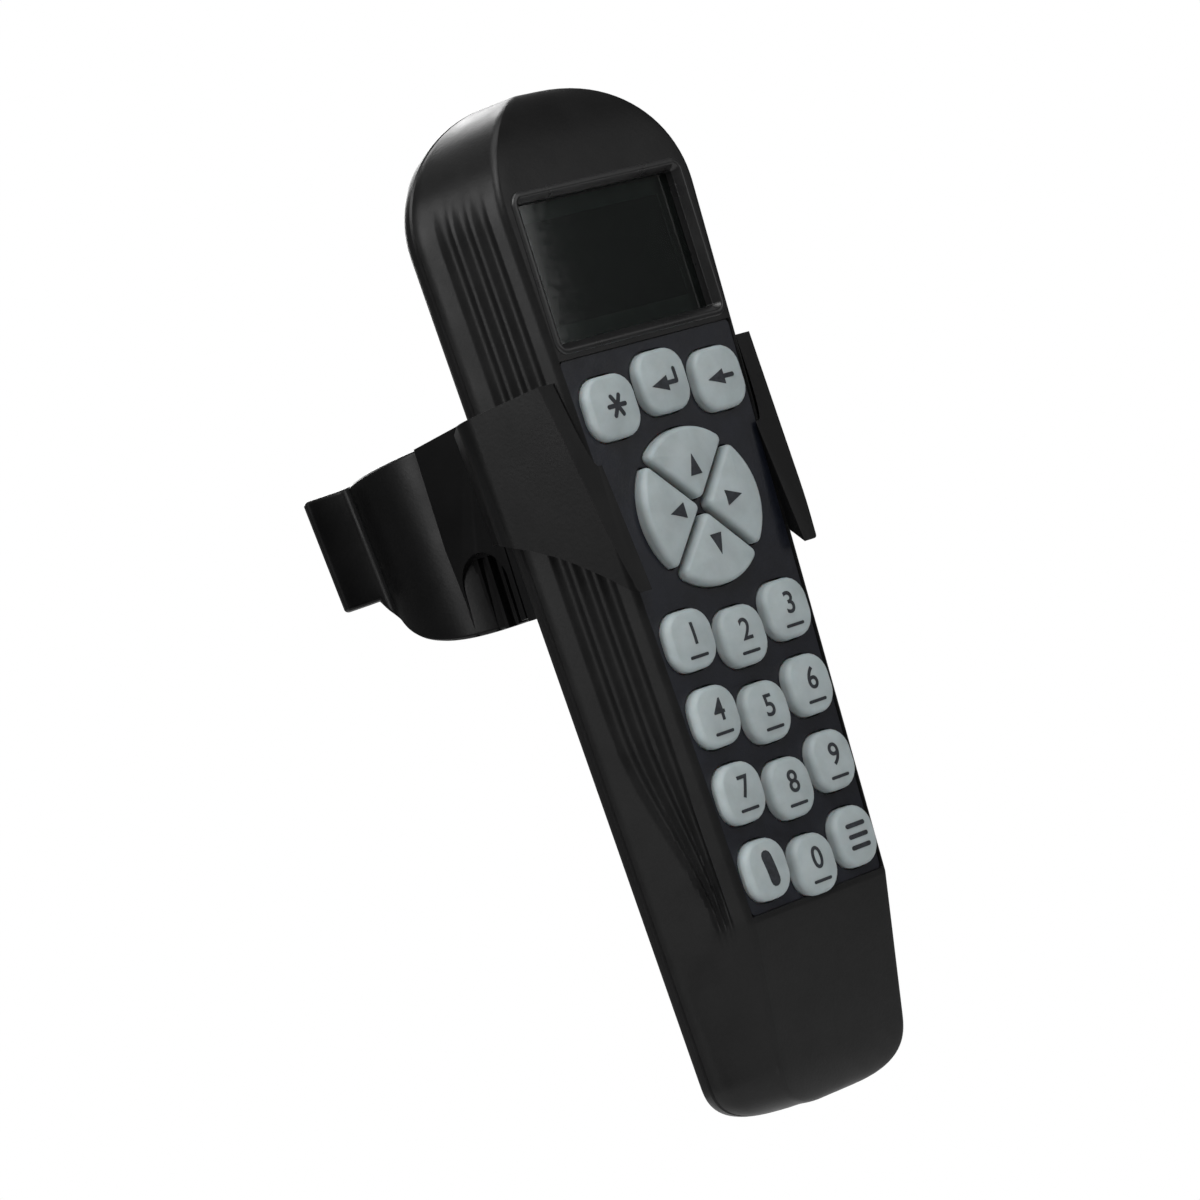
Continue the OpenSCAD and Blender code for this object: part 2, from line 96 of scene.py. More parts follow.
# Half the gap between the shells, and the chamfer beside it
SEAM_GAP = 0.06
SEAM_CHAMFER = 0.35
# Depth of the key panel's recess, and the width of the rim beside it
RECESS = panel_high.y - FRONT_Y
RIM = 1.5
WINDOW_Z = (bezel_low.z + bezel_high.z) / 2
KEY_TOP = node_box("key_5")[0].y


def half_at(half, z):
    """Half width at a height, from the half width at the holder's level."""
    return half + TAPER * (z - LEVEL)


def front_at(z):
    """Front face, which slopes back below the keys."""
    return FRONT_Y + max(0.0, SLOPE_Z - z) * math.tan(SLOPE)


def back_at(z):
    return BACK_Y - max(0.0, BACK_SLOPE_Z - z) * math.tan(BACK_SLOPE)


def smooth(edge0, edge1, value):
    t = min(1.0, max(0.0, (value - edge0) / (edge1 - edge0)))
    return t * t * (3 - 2 * t)


def mix(a, b, t):
    return a + (b - a) * t


# ---- Meshes ----

def add_object(name, mesh):
    obj = bpy.data.objects.new(name, mesh)
    bpy.context.scene.collection.objects.link(obj)
    return obj


def mesh_from(name, points, faces):
    """Object from points in millimetres, with doubled points merged and faces turned outwards."""
    mesh = bpy.data.meshes.new(name)
    mesh.from_pydata([Vector(p) * MM for p in points], [], faces)
    clean(mesh)
    return add_object(name, mesh)


def clean(mesh, merge=1e-6):
    bm = bmesh.new()
    bm.from_mesh(mesh)
    bmesh.ops.remove_doubles(bm, verts=bm.verts, dist=merge)
    bmesh.ops.dissolve_degenerate(bm, edges=bm.edges, dist=merge)
    bmesh.ops.recalc_face_normals(bm, faces=bm.faces)
    bm.to_mesh(mesh)
    bm.free()


def loft(name, loops, ends="points"):
    """Skin through loops of equal length. Its ends are points, are capped, or wrap round to each other."""
    count = len(loops[0])
    points = [p for loop in loops for p in loop]
    spans = len(loops) if ends == "wrap" else len(loops) - 1
    faces = []
    for i in range(spans):
        low, high = i * count, ((i + 1) % len(loops)) * count
        for j in range(count):
            k = (j + 1) % count
            faces.append((low + j, low + k, high + k, high + j))
    if ends == "caps":
        faces.append(tuple(range(count)))
        faces.append(tuple(range(len(points) - count, len(points))))
    return mesh_from(name, points, faces)


def bake(obj):
    """Applies an object's modifiers to its mesh."""
    graph = bpy.context.evaluated_depsgraph_get()
    mesh = bpy.data.meshes.new_from_object(obj.evaluated_get(graph))
    obj.modifiers.clear()
    obj.data = mesh
    return obj


def remove(*objects):
    for obj in objects:
        bpy.data.objects.remove(obj)


def combine(target, tool, operation):
    """Joins, cuts or intersects target with tool, which is used up."""
    modifier = target.modifiers.new("boolean", "BOOLEAN")
    modifier.object = tool
    modifier.operation = operation
    modifier.solver = "EXACT"
    bpy.context.view_layer.update()
    bake(target)
    remove(tool)
    return target


def joined(name, objects):
    """One object from several separate solids."""
    bm = bmesh.new()
    for obj in objects:
        bm.from_mesh(obj.data)
    mesh = bpy.data.meshes.new(name)
    bm.to_mesh(mesh)
    bm.free()
    remove(*objects)
    return add_object(name, mesh)


def bevelled(obj, width, segments=3, angle=32):
    modifier = obj.modifiers.new("bevel", "BEVEL")
    modifier.width = width * MM
    modifier.segments = segments
    modifier.limit_method = "ANGLE"
    modifier.angle_limit = math.radians(angle)
    return bake(obj)


def shade(obj, angle=38):
    """Smooth shading that keeps edges sharper than the angle, with flat faces kept flat."""
    mesh = obj.data
    mesh.shade_smooth()
    mesh.set_sharp_from_angle(angle=math.radians(angle))
    modifier = obj.modifiers.new("normals", "WEIGHTED_NORMAL")
    modifier.keep_sharp = True
    modifier.weight = 60
    return obj


# ---- Outlines that face the front, as arcs: (centre x, centre z, normal angle, radius) ----

def rounded_arcs(x, z, width, height, radius, steps=6):
    arcs = []
    for corner, start in enumerate((0, 90, 180, 270)):
        sx = 1 if corner in (0, 3) else -1
        sz = 1 if corner in (0, 1) else -1
        cx, cz = x + sx * (width / 2 - radius), z + sz * (height / 2 - radius)
        arcs += [(cx, cz, math.radians(start + 90 * i / steps), radius) for i in range(steps + 1)]
    return arcs


def grown(arcs, amount):
    """Points of an outline moved outwards by an amount."""
    return [
        (cx + max(0.05, r + amount) * math.cos(a), cz + max(0.05, r + amount) * math.sin(a))
        for cx, cz, a, r in arcs
    ]


def ring_outline(radius, steps):
    angles = [math.tau * i / steps for i in range(steps)]
    return [(radius * math.cos(a), radius * math.sin(a)) for a in angles]


def prism(name, outline, y0, y1):
    """Solid between two depths, with the same outline at both."""
    return loft(name, [[(x, y, z) for x, z in outline] for y in (y0, y1)], ends="caps")


# ---- Keys ----

pad_low, pad_high = node_box("key_left")
PAD_Z = (pad_low.z + pad_high.z) / 2
PAD_R = 13.8
PAD_GAP = 1.3
PAD_CORNER = 1.2
PAD_TURNS = {"key_up": 0, "key_left": 90, "key_down": 180, "key_right": 270}
# Distance of a pad key's stem from the pad's middle
PAD_STEM = 8.4
# How much taller a row key's CAD box is than its cap
KEY_SKIRT = 1.7
ROW_KEYS = ["key_align", "key_enter", "key_back"] + [f"key_{n}" for n in range(1, 10)]
ROW_KEYS += ["key_info", "key_0", "key_menu"]
KEY_CORNER = 3.9


def row_key(name):
    """Centre and size of a key in the rows, whose stem widens its CAD box upwards and downwards."""
    low, high = node_box(name)
    width = high.x - low.x
    height = high.z - low.z - KEY_SKIRT
    return (low.x + high.x) / 2, (low.z + high.z) / 2, width, height


def pad_arcs(turn, steps=7):
    """A quadrant of the direction pad with its corners rounded."""
    apex = PAD_GAP / 2 * math.sqrt(2) + PAD_CORNER * math.sqrt(2)
    reach = PAD_R - PAD_CORNER
    side = (-apex + math.sqrt(2 * reach * reach - apex * apex)) / 2
    lean = math.atan2(side + apex, side)
    bottom = [mix(math.radians(225), math.radians(315), i / steps) for i in range(steps + 1)]
    arcs = [(0, apex, a, PAD_CORNER) for a in bottom]
    right = [mix(math.radians(-45), lean, i / steps) for i in range(steps + 1)]
    arcs += [(side, side + apex, a, PAD_CORNER) for a in right]
    arcs += [(0, 0, mix(lean, math.pi - lean, i / 24), PAD_R) for i in range(1, 24)]
    left = [mix(math.pi - lean, math.radians(225), i / steps) for i in range(steps + 1)]
    arcs += [(-side, side + apex, a, PAD_CORNER) for a in left]
    turn = math.radians(turn)
    c, s = math.cos(turn), math.sin(turn)
    return [(cx * c - cz * s, PAD_Z + cx * s + cz * c, a + turn, r) for cx, cz, a, r in arcs]


def key_arcs(name):
    if name in PAD_TURNS:
        return pad_arcs(PAD_TURNS[name])
    x, z, width, height = row_key(name)
    return rounded_arcs(x, z, width, height, KEY_CORNER)


def key_centre(name):
    if name in PAD_TURNS:
        turn = math.radians(PAD_TURNS[name])
        return -PAD_STEM * math.sin(turn), PAD_Z + PAD_STEM * math.cos(turn)
    return row_key(name)[:2]


# Fall of a cap's top from its middle, and the distance over which it falls
PAD_CROWN, ROW_CROWN = (0.45, 7.5), (0.4, 4.6)
FILLET = 0.85
FLANGE = 0.8
STEM_R, STEM_H = 2.0, 0.8
# Scales of the rings that close a cap's top
CAP_RINGS = (0.8, 0.58, 0.36, 0.16, 0.0)


def cap_height(name, x, z):
    """Depth of a key's crowned top at a point."""
    cx, cz = key_centre(name)
    fall, reach = PAD_CROWN if name in PAD_TURNS else ROW_CROWN
    away = math.hypot(x - cx, z - cz) / reach
    return KEY_TOP + fall * min(1.4, away * away)


def key_piece(name):
    """A key with a filleted, crowned cap, a flange behind the panel and a round stem."""
    arcs = key_arcs(name)
    cx, cz = key_centre(name)
    flange_y = FRONT_Y + WALL + 0.3
    stem_y = node_box(name)[1].y
    edge_y = FRONT_Y - 0.4
    stem = [(cx + STEM_R * math.cos(a), cz + STEM_R * math.sin(a)) for _, _, a, _ in arcs]
    flange, cap = grown(arcs, FLANGE), grown(arcs, 0.0)
    loops = [[(cx, stem_y, cz)] * len(stem)]
    steps = ((stem, stem_y), (stem, stem_y - STEM_H), (flange, stem_y - STEM_H), (flange, flange_y))
    for outline, y in (*steps, (cap, flange_y), (cap, edge_y)):
        loops.append([(x, y, z) for x, z in outline])
    for step in range(1, 7):
        a = math.radians(90 * step / 6)
        inset = -FILLET * (1 - math.cos(a))
        ring = []
        for x, z in grown(arcs, inset):
            top = cap_height(name, x, z)
            ring.append((x, mix(edge_y, top, math.sin(a)), z))
        loops.append(ring)
    rim = grown(arcs, -FILLET)
    for scale in CAP_RINGS:
        ring = [(cx + (x - cx) * scale, cz + (z - cz) * scale) for x, z in rim]
        loops.append([(x, cap_height(name, x, z), z) for x, z in ring])
    return shade(loft(f"{name}_cap", loops), 50)


# ---- Shells ----

def discs(z, wide, deep, inset):
    """The right-hand edge discs (x, y, radius) of one cross-section: front, seam and back."""
    def fitted(half, radius):
        radius = max(0.004, min(radius, half))
        return max(0.0, half - radius), radius

    front = SEAM_Y - (SEAM_Y - front_at(z) - inset) * deep
    back = SEAM_Y + (back_at(z) - SEAM_Y - inset) * deep
    fx, fr = fitted((half_at(FRONT_HALF, z) - inset) * wide, FRONT_EDGE * deep)
    sx, sr = fitted((half_at(SEAM_HALF, z) - inset) * wide, SEAM_EDGE * wide)
    bx, br = fitted((half_at(SEAM_HALF - BACK_INSET, z) - inset) * wide, BACK_EDGE * deep)
    return (fx, front + fr, fr), (sx, SEAM_Y, sr), (bx, back - br, br)


def tangent(a, b):
    """Normal angle of the line that touches two discs on their outer side."""
    dx, dy = b[0] - a[0], b[1] - a[1]
    length = max(1e-6, math.hypot(dx, dy))
    angle = math.atan2(dy, dx) - math.acos(max(-1.0, min(1.0, (a[2] - b[2]) / length)))
    return (angle + math.pi) % math.tau - math.pi


def on_disc(disc, angle):
    return disc[0] + disc[2] * math.cos(angle), disc[1] + disc[2] * math.sin(angle)


# Places and half width of the grooves across the side, as parts of it; where they meet; their depth
GROOVES = (0.23, 0.48, 0.73)
GROOVE_HALF = 0.095
GROOVES_MEET = 0.17
GROOVE_DEPTH = 0.6


def groove(t, z):
    """Depth of the lengthwise grip grooves, which sweep together at the panel's lower corners."""
    up = z - LEVEL
    together = smooth(-34, -71, up)
    fade = smooth(-74, -66, up) * smooth(60, 50, up)
    depth = 0.0
    for place in GROOVES:
        centre = mix(place, GROOVES_MEET, 0.7 * together)
        away = abs(t - centre) / (GROOVE_HALF * mix(1.0, 0.4, together))
        if away < 1:
            depth = max(depth, GROOVE_DEPTH * (1 - away * away))
    return depth * fade


def side_points(a, b, angle, count, z, grooved):
    """Points along the straight side between two discs."""
    start, end = on_disc(a, angle), on_disc(b, angle)
    points = []
    for i in range(1, count):
        t = i / count
        depth = groove(t, z) if grooved else 0.0
        points.append((
            mix(start[0], end[0], t) - depth * math.cos(angle),
            mix(start[1], end[1], t) - depth * math.sin(angle),
        ))
    return points


def arc_points(disc, start, end, count):
    return [on_disc(disc, mix(start, end, i / count)) for i in range(count + 1)]


def front_outer(z, wide, deep, opened):
    """Right half of the front shell's outside, from the middle to the seam."""
    front, seam, _ = discs(z, wide, deep, 0.0)
    floor = front[1] - front[2]
    rim_x = max(0.0, half_at(FRONT_HALF, z) * wide - RIM * wide)

    def surface(x):
        over = max(0.0, min(x - front[0], front[2]))
        return floor + front[2] - math.sqrt(max(0.0, front[2] ** 2 - over ** 2))

    flat = [rim_x * i / 12 for i in range(13)]
    points = [(x, mix(surface(x), floor + RECESS, opened)) for x in flat]
    lip = rim_x + 0.22 * wide
    start = -math.pi / 2 + math.asin(max(0.0, min(1.0, (lip - front[0]) / front[2])))
    angle = tangent(front, seam)
    arc = arc_points(front, min(start, angle), angle, 7)
    if lip < front[0]:
        arc[0] = (lip, floor)
    points += arc
    points += side_points(front, seam, angle, 56, z, True)
    points += arc_points(seam, angle, 0.0, 5)
    limit = SEAM_Y - SEAM_CHAMFER
    return [(x, min(y, limit)) for x, y in points]


def rear_outer(z, wide, deep):
    """Right half of the rear shell's outside, from the seam to the middle."""
    _, seam, back = discs(z, wide, deep, 0.0)
    angle = tangent(seam, back)
    points = arc_points(seam, 0.0, angle, 6)
    points += side_points(seam, back, angle, 8, z, False)
    points += arc_points(back, angle, math.pi / 2, 10)
    last = points[-1]
    points += [(last[0] * (1 - i / 8), last[1]) for i in range(1, 9)]
    limit = SEAM_Y + SEAM_CHAMFER
    edge = (points[0][0], limit)
    return [(x, y) if y > limit + 0.02 else edge for x, y in points]


def inner_half(z, wide, deep, front_side):
    """Right half of a shell's inside, from the middle to the seam or from the seam to the middle."""
    front, seam, back = discs(z, wide, deep, WALL)
    if front_side:
        angle = tangent(front, seam)
        points = [(front[0] * i / 3, front[1] - front[2]) for i in range(3)]
        points += arc_points(front, -math.pi / 2, angle, 4) + arc_points(seam, angle, 0.0, 3)
        return [(x, min(y, SEAM_Y)) for x, y in points]
    angle = tangent(seam, back)
    points = arc_points(seam, 0.0, angle, 3) + arc_points(back, angle, math.pi / 2, 4)
    points += [(points[-1][0] * (1 - i / 3), points[-1][1]) for i in range(1, 4)]
    return [(x, max(y, SEAM_Y)) for x, y in points]


# Steps round the dome and the heel, and how square the heel's outline is across and front to back
END_STEPS = 24
HEEL_SQUARE, HEEL_DEEP, DOME_DEEP = 3, 2.8, 2.2


def stations():
    """Heights of the cross-sections: (z, inner z, width scale, depth scale, is the recess open)."""
    rows = []
    for i in range(END_STEPS, 0, -1):
        rise = math.sin(math.pi / 2 * i / END_STEPS)
        wide = (1 - rise ** HEEL_SQUARE) ** (1 / HEEL_SQUARE) if i < END_STEPS else 0.0
        deep = wide ** (1 / HEEL_DEEP)
        rows.append((HEEL_Z - HEEL_H * rise, HEEL_Z - (HEEL_H - WALL) * rise, wide, deep, 0.0))
    low, high = panel_low.z - 0.1, panel_high.z + 0.1
    heights = [HEEL_Z, *(LEVEL + h for h in (-92, -89, -86, -83, -80, -77, -75, -73))]
    heights += [SLOPE_Z - 0.4, SLOPE_Z + 0.1]
    heights += [low - 0.02, low + 0.25]
    heights += [mix(low + 0.25, high - 0.25, i / 56) for i in range(1, 56)]
    heights += [high - 0.25, high + 0.02]
    heights += [mix(high, DOME_Z, i / 16) for i in range(1, 17)]
    for z in heights:
        rows.append((z, z, 1.0, 1.0, 1.0 if low + 0.2 < z < high - 0.2 else 0.0))
    for i in range(1, END_STEPS + 1):
        a = math.pi / 2 * i / END_STEPS
        rise = math.sin(a)
        wide = math.cos(a) if i < END_STEPS else 0.0
        deep = wide ** (1 / DOME_DEEP)
        rows.append((DOME_Z + DOME_H * rise, DOME_Z + (DOME_H - WALL) * rise, wide, deep, 0.0))
    return rows


def shell_loop(station, front_side):
    """Closed loop round a shell's wall at one station."""
    z, inner_z, wide, deep, opened = station
    gap = -SEAM_GAP if front_side else SEAM_GAP
    if front_side:
        outer = front_outer(z, wide, deep, opened)
        inner = inner_half(inner_z, wide, deep, True)
    else:
        outer = rear_outer(z, wide, deep)[::-1]
        inner = inner_half(inner_z, wide, deep, False)[::-1]
    if wide == 0:
        limit = SEAM_Y - SEAM_CHAMFER if front_side else SEAM_Y + SEAM_CHAMFER
        outer, inner = [(0.0, limit)] * len(outer), [(0.0, SEAM_Y)] * len(inner)
    outside, inside = Vector((*outer[-1], z)), Vector((*inner[-1], inner_z))
    edge = outside.lerp(inside, SEAM_CHAMFER / WALL)
    edge.y = SEAM_Y + gap
    half = [(x, y, z) for x, y in outer] + [tuple(edge)]
    half += [(x, y if abs(y - SEAM_Y) > 1e-6 else SEAM_Y + gap, inner_z) for x, y in reversed(inner)]
    return half + [(-x, y, z) for x, y, z in reversed(half)]


def key_hole_cutters(depth):
    """Prisms that open the front shell for the keys."""
    tools = []
    for name in [*ROW_KEYS, *PAD_TURNS]:
        outline = grown(key_arcs(name), 0.25)
        tools.append(prism(f"hole_{name}", outline, FRONT_Y + RECESS - 0.5, FRONT_Y + depth))
    return tools


# Widths and height of the sockets' mouths
JACKS = {"cord_jack": 10.0, "serial_jack": 8.0}
JACK_H = 8.2


def jack_cutter(node, width):
    """The mouth of a socket in the case's lower end."""
    low, high = node_box(node)
    middle = (low.x + high.x) / 2
    outline = grown(rounded_arcs(middle, (low.y + high.y) / 2 + 0.1, width, JACK_H, 0.8, 3), 0)
    loops = [[(x, y, z) for x, y in outline] for z in (BOTTOM_Z - 3, low.z + 0.4)]
    return loft(f"mouth_{node}", loops, ends="caps")


def front_shell():
    loops = [shell_loop(s, True) for s in stations()]
    shell = loft("front_shell_skin", loops)
    width, height = bezel_high.x - bezel_low.x, bezel_high.z - bezel_low.z
    window = grown(rounded_arcs(0, WINDOW_Z, width, height, 2.0), 0.15)
    tools = [prism("window", window, FRONT_Y - 2, FRONT_Y + WALL + 1)]
    tools += key_hole_cutters(WALL + 1)
    tools += [jack_cutter(node, mouth) for node, mouth in JACKS.items()]
    combine(shell, joined("front_cutters", tools), "DIFFERENCE")
    return shade(shell, 30)


# Case screws' places and their wells' radius and depth
SCREWS = [(x, LEVEL + z) for x, z in ((-12, 62), (12, 62), (-13.5, -80), (13.5, -80))]
WELL_R, WELL_DEPTH = 2.8, 4
# Middle, size and depth of the plain recess on the back
LABEL_Z, LABEL_W, LABEL_H = LEVEL - 46, 23.0, 44.0
LABEL_DEPTH = 0.35


def on_back(points, depth):
    """Turns front-facing points onto the back face, a depth below it."""
    return [(x, back_at(z) - depth, z) for x, z in points]


def rear_shell():
    loops = [shell_loop(s, False) for s in stations()]
    shell = loft("rear_shell_skin", loops)
    tools = []
    for i, (x, z) in enumerate(SCREWS):
        ring = [(x + across, z + up) for across, up in ring_outline(WELL_R, 40)]
        tools.append(prism(f"screw_{i}", ring, back_at(z) - WELL_DEPTH, BACK_Y + 2))
    label = grown(rounded_arcs(0, LABEL_Z, LABEL_W, LABEL_H, 2.0, 5), 0)
    tools.append(loft("label", [on_back(label, LABEL_DEPTH), on_back(label, -2)], ends="caps"))
    tools += [jack_cutter(node, mouth) for node, mouth in JACKS.items()]
    for tool in tools:
        combine(shell, tool, "DIFFERENCE")
    return shade(shell, 30)


# ---- Window, key panel and marks ----

def window_bezel():
    """Frame round the window: a low lip on the face, a chamfer into the opening and an inner wall."""
    width, height = bezel_high.x - bezel_low.x, bezel_high.z - bezel_low.z
    arcs = rounded_arcs(0, WINDOW_Z, width, height, 2.0)
    back = WALL - 0.05
    profile = [(0.05, back), (0.05, 0.5), (-0.4, 0.5), (-0.4, -0.1), (-0.22, -0.3), (0.1, -0.4)]
    profile += [(0.45, -0.42), (0.7, -0.3), (1.5, 0.8), (1.6, 1.0), (1.6, back)]
    loops = [[(x, FRONT_Y + depth, z) for x, z in grown(arcs, -inset)] for inset, depth in profile]
    return shade(loft("window_bezel_frame", loops, "wrap"), 30)


def panel_outline(inset):
    """The key panel's outline between the raised rims, with small round corners."""
    radius = 0.8
    top, low = panel_high.z, panel_low.z
    points = []
    for sx, z, start in ((1, top, 0), (-1, top, 90), (-1, low, 180), (1, low, 270)):
        sz = 1 if z > 0 else -1
        x = sx * (half_at(FRONT_HALF, z) - RIM - inset - radius)
        for i in range(5):
            a = math.radians(start + 90 * i / 4)
            points.append((x + radius * math.cos(a), z - sz * radius + radius * math.sin(a)))
    return points


def key_panel():
    plate = prism("key_panel_film", panel_outline(0.1), panel_low.y, panel_high.y)
    tools = [
        prism(f"cut_{name}", grown(key_arcs(name), 0.3), panel_low.y - 1, panel_high.y + 1)
        for name in [*ROW_KEYS, *PAD_TURNS]
    ]
    combine(plate, joined("panel_cutters", tools), "DIFFERENCE")
    return shade(bevelled(plate, 0.09, 2, 50), 30)


# Thickness of the printed marks, and the size of the digits
MARK_T = 0.12
DIGIT_SIZE = 5.4


def onto_cap(obj, key):
    """Bends a flat mark onto a key's crowned top, half sunk into it."""
    cx, cz = key_centre(key)
    bm = bmesh.new()
    bm.from_mesh(obj.data)
    for axis in (Vector((1, 0, 0)), Vector((0, 0, 1))):
        for step in range(-4, 5):
            everything = bm.verts[:] + bm.edges[:] + bm.faces[:]
            point = (Vector((cx, 0, cz)) + axis * (0.8 * step + 0.1)) * MM
            bmesh.ops.bisect_plane(bm, geom=everything, dist=1e-8, plane_co=point, plane_no=axis)
    for v in bm.verts:
        v.co.y += cap_height(key, v.co.x / MM, v.co.z / MM) * MM
    bm.to_mesh(obj.data)
    bm.free()
    obj.data.shade_flat()
    return obj


def flat_mark(name, key, outlines):
    """Mark made of flat outlines placed round a key's centre."""
    cx, cz = key_centre(key)
    solids = [
        prism(f"{name}_{i}", [(cx + x, cz + z) for x, z in outline], -MARK_T / 2, MARK_T / 2)
        for i, outline in enumerate(outlines)
    ]
    return onto_cap(joined(name, solids), key)


def digit_mark(key, text, dz):
    """A plain digit on a key, above its middle."""
    curve = bpy.data.curves.new(f"{key}_digit", "FONT")
    curve.body = text
    curve.size = DIGIT_SIZE * MM
    curve.extrude = MARK_T / 2 * MM
    curve.align_x, curve.align_y = "CENTER", "CENTER"
    curve.resolution_u = 6
    curve.offset = 0.06 * MM
    source = bpy.data.objects.new(f"{key}_digit_curve", curve)
    bpy.context.scene.collection.objects.link(source)
    bpy.context.view_layer.update()
    graph = bpy.context.evaluated_depsgraph_get()
    mesh = bpy.data.meshes.new_from_object(source.evaluated_get(graph))
    remove(source)
    cx, cz = key_centre(key)
    place = Matrix.Translation(Vector((cx, 0, cz + dz)) * MM)
    mesh.transform(place @ Matrix.Rotation(math.pi / 2, 4, "X"))
    clean(mesh)
    return onto_cap(add_object(f"{key}_digit", mesh), key)


def bar(x, z, width, height):
    return grown(rounded_arcs(x, z, width, height, min(width, height) / 2.01, 3), 0)


def turned(outline, degrees, dx=0.0, dz=0.0):
    """Outline turned about its middle, then moved."""
    a = math.radians(degrees)
    c, s = math.cos(a), math.sin(a)
    return [(dx + x * c - z * s, dz + x * s + z * c) for x, z in outline]


ARROW = [(-1.35, -1.5), (1.35, -1.5), (0, 2.2)]


def key_marks():
    """The printed marks: digits, arrows and plain signs. Returns (mark, key) pairs."""
    marks = []
    for n in range(10):
        key = f"key_{n}"
        marks.append((digit_mark(key, str(n), 0.75), key))
        marks.append((flat_mark(f"{key}_line", key, [bar(0, -3.0, 4.4, 0.55)]), key))
    for key, turn in PAD_TURNS.items():
        a = math.radians(turn)
        arrow = turned(ARROW, turn, 1.7 * math.sin(a), -1.7 * math.cos(a))
        marks.append((flat_mark(f"{key}_arrow", key, [arrow]), key))
    signs = {
        "key_align": [turned(bar(0, 0, 4.6, 0.8), angle) for angle in (0, 60, 120)],
        "key_enter": [bar(0.3, -0.6, 4.2, 0.8), bar(2.1, 0.5, 0.8, 2.9), turned(ARROW, 90, -1.6, -0.6)],
        "key_back": [bar(0.8, 0, 3.8, 0.8), turned(ARROW, 90, -1.4, 0)],
        "key_menu": [bar(0, z, 4.8, 0.8) for z in (1.9, 0, -1.9)],
        "key_info": [turned(bar(0, 0, 2.3, 6.4), 8)],
    }
    for key, outlines in signs.items():
        marks.append((flat_mark(f"{key}_mark", key, outlines), key))
    return marks


# ---- Holder ----

# Gap all round between the cradle and the handset
SLACK = 0.3
CRADLE_WALL = FRONT_Y - SLACK - cradle_low.y
CRADLE_BACK = BACK_Y + SLACK + CRADLE_WALL
EDGE = 0.6
ARM_TOP_Y = FRONT_Y + 1.5
BACK_LOW = LEVEL + 2
# The tab below the cradle's back, and half the opening between the arms' lips
TAB_HALF, TAB_LOW = 17.5, LEVEL - 12
LIP_HALF = 19.2


def section(outer, inner, low_outer, low_inner, top, inset):
    """Loop round an upright wall: outside, top, inside and bottom, with rounded edges."""
    r = max(0.03, BAND_EDGE - inset)
    rows = 7
    points = []
    away = (inner - outer).normalized()

    def place(u, from_inner, z):
        base = inner - away * u if from_inner else outer + away * u
        points.append((base.x, base.y, z))

    def corner(from_inner, z_mid, start, end):
        for i in range(4):
            a = math.radians(mix(start, end, i / 3))
            place(inset + r - r * math.cos(a), from_inner, z_mid + r * math.sin(a))

    def side(from_inner, z0, z1):
        for i in range(1, rows):
            place(inset, from_inner, mix(z0, z1, i / rows))

    lo_out, lo_in, hi = low_outer + inset + r, low_inner + inset + r, top - inset - r
    corner(False, lo_out, -90, 0)
    side(False, lo_out, hi)
    corner(False, hi, 0, 90)
    corner(True, hi, 90, 0)
    side(True, hi, lo_in)
    corner(True, lo_in, 0, -90)
    return points


def body_form(name, offset, z0, z1):
    """The body's shape, grown by an offset, between two heights."""
    loops = []
    for z in (z0, z1):
        front, seam, back = discs(z, 1.0, 1.0, -offset)
        low, high = tangent(front, seam), tangent(seam, back)
        half = arc_points(front, -math.pi / 2, low, 8) + arc_points(seam, low, high, 6)
        half += arc_points(back, high, math.pi / 2, 14)
        loops.append([(x, y, z) for x, y in half] + [(-x, y, z) for x, y in reversed(half)])
    return loft(name, loops, "caps")


def side_form(name, outline, x0, x1):
    """Solid with an outline in y and z, from one side to another."""
    return loft(name, [[(x, y, z) for y, z in outline] for x in (x0, x1)], "caps")


def box_form(name, low, high):
    outline = [(low[1], low[2]), (high[1], low[2]), (high[1], high[2]), (low[1], high[2])]
    return side_form(name, outline, low[0], high[0])


def cradle_profile():
    """Side view of the cradle: its arms reach forwards and sweep down to pointed lips."""
    tip = Vector(cradle_low.yz)
    bend, end = Vector((SEAM_Y - 6.5, LEVEL + 0.1)), Vector((SEAM_Y + 4, BACK_LOW))
    outline = []
    for i in range(15):
        t = i / 14
        outline.append(tuple(tip * (1 - t) ** 2 + bend * 2 * t * (1 - t) + end * t * t))
    back = CRADLE_BACK + 1
    return [*outline, (back, BACK_LOW), (back, cradle_high.z - 3), (ARM_TOP_Y, cradle_high.z)]


TONGUE_NECK, TONGUE_HEAD = 5.0, 8.0
TONGUE_LOW, TONGUE_HIGH = -7.7, 14.0


def tongue_outline(grow, front):
    """Plan of the tongue, or of its slot when grown."""
    neck, head = TONGUE_NECK + grow, TONGUE_HEAD + grow
    y1, y2 = CRADLE_BACK + 2.5 - grow, CRADLE_BACK + 4.1 + grow
    right = [(neck, front), (neck, y1), (head, y1), (head, y2)]
    return right + [(-x, y) for x, y in reversed(right)]


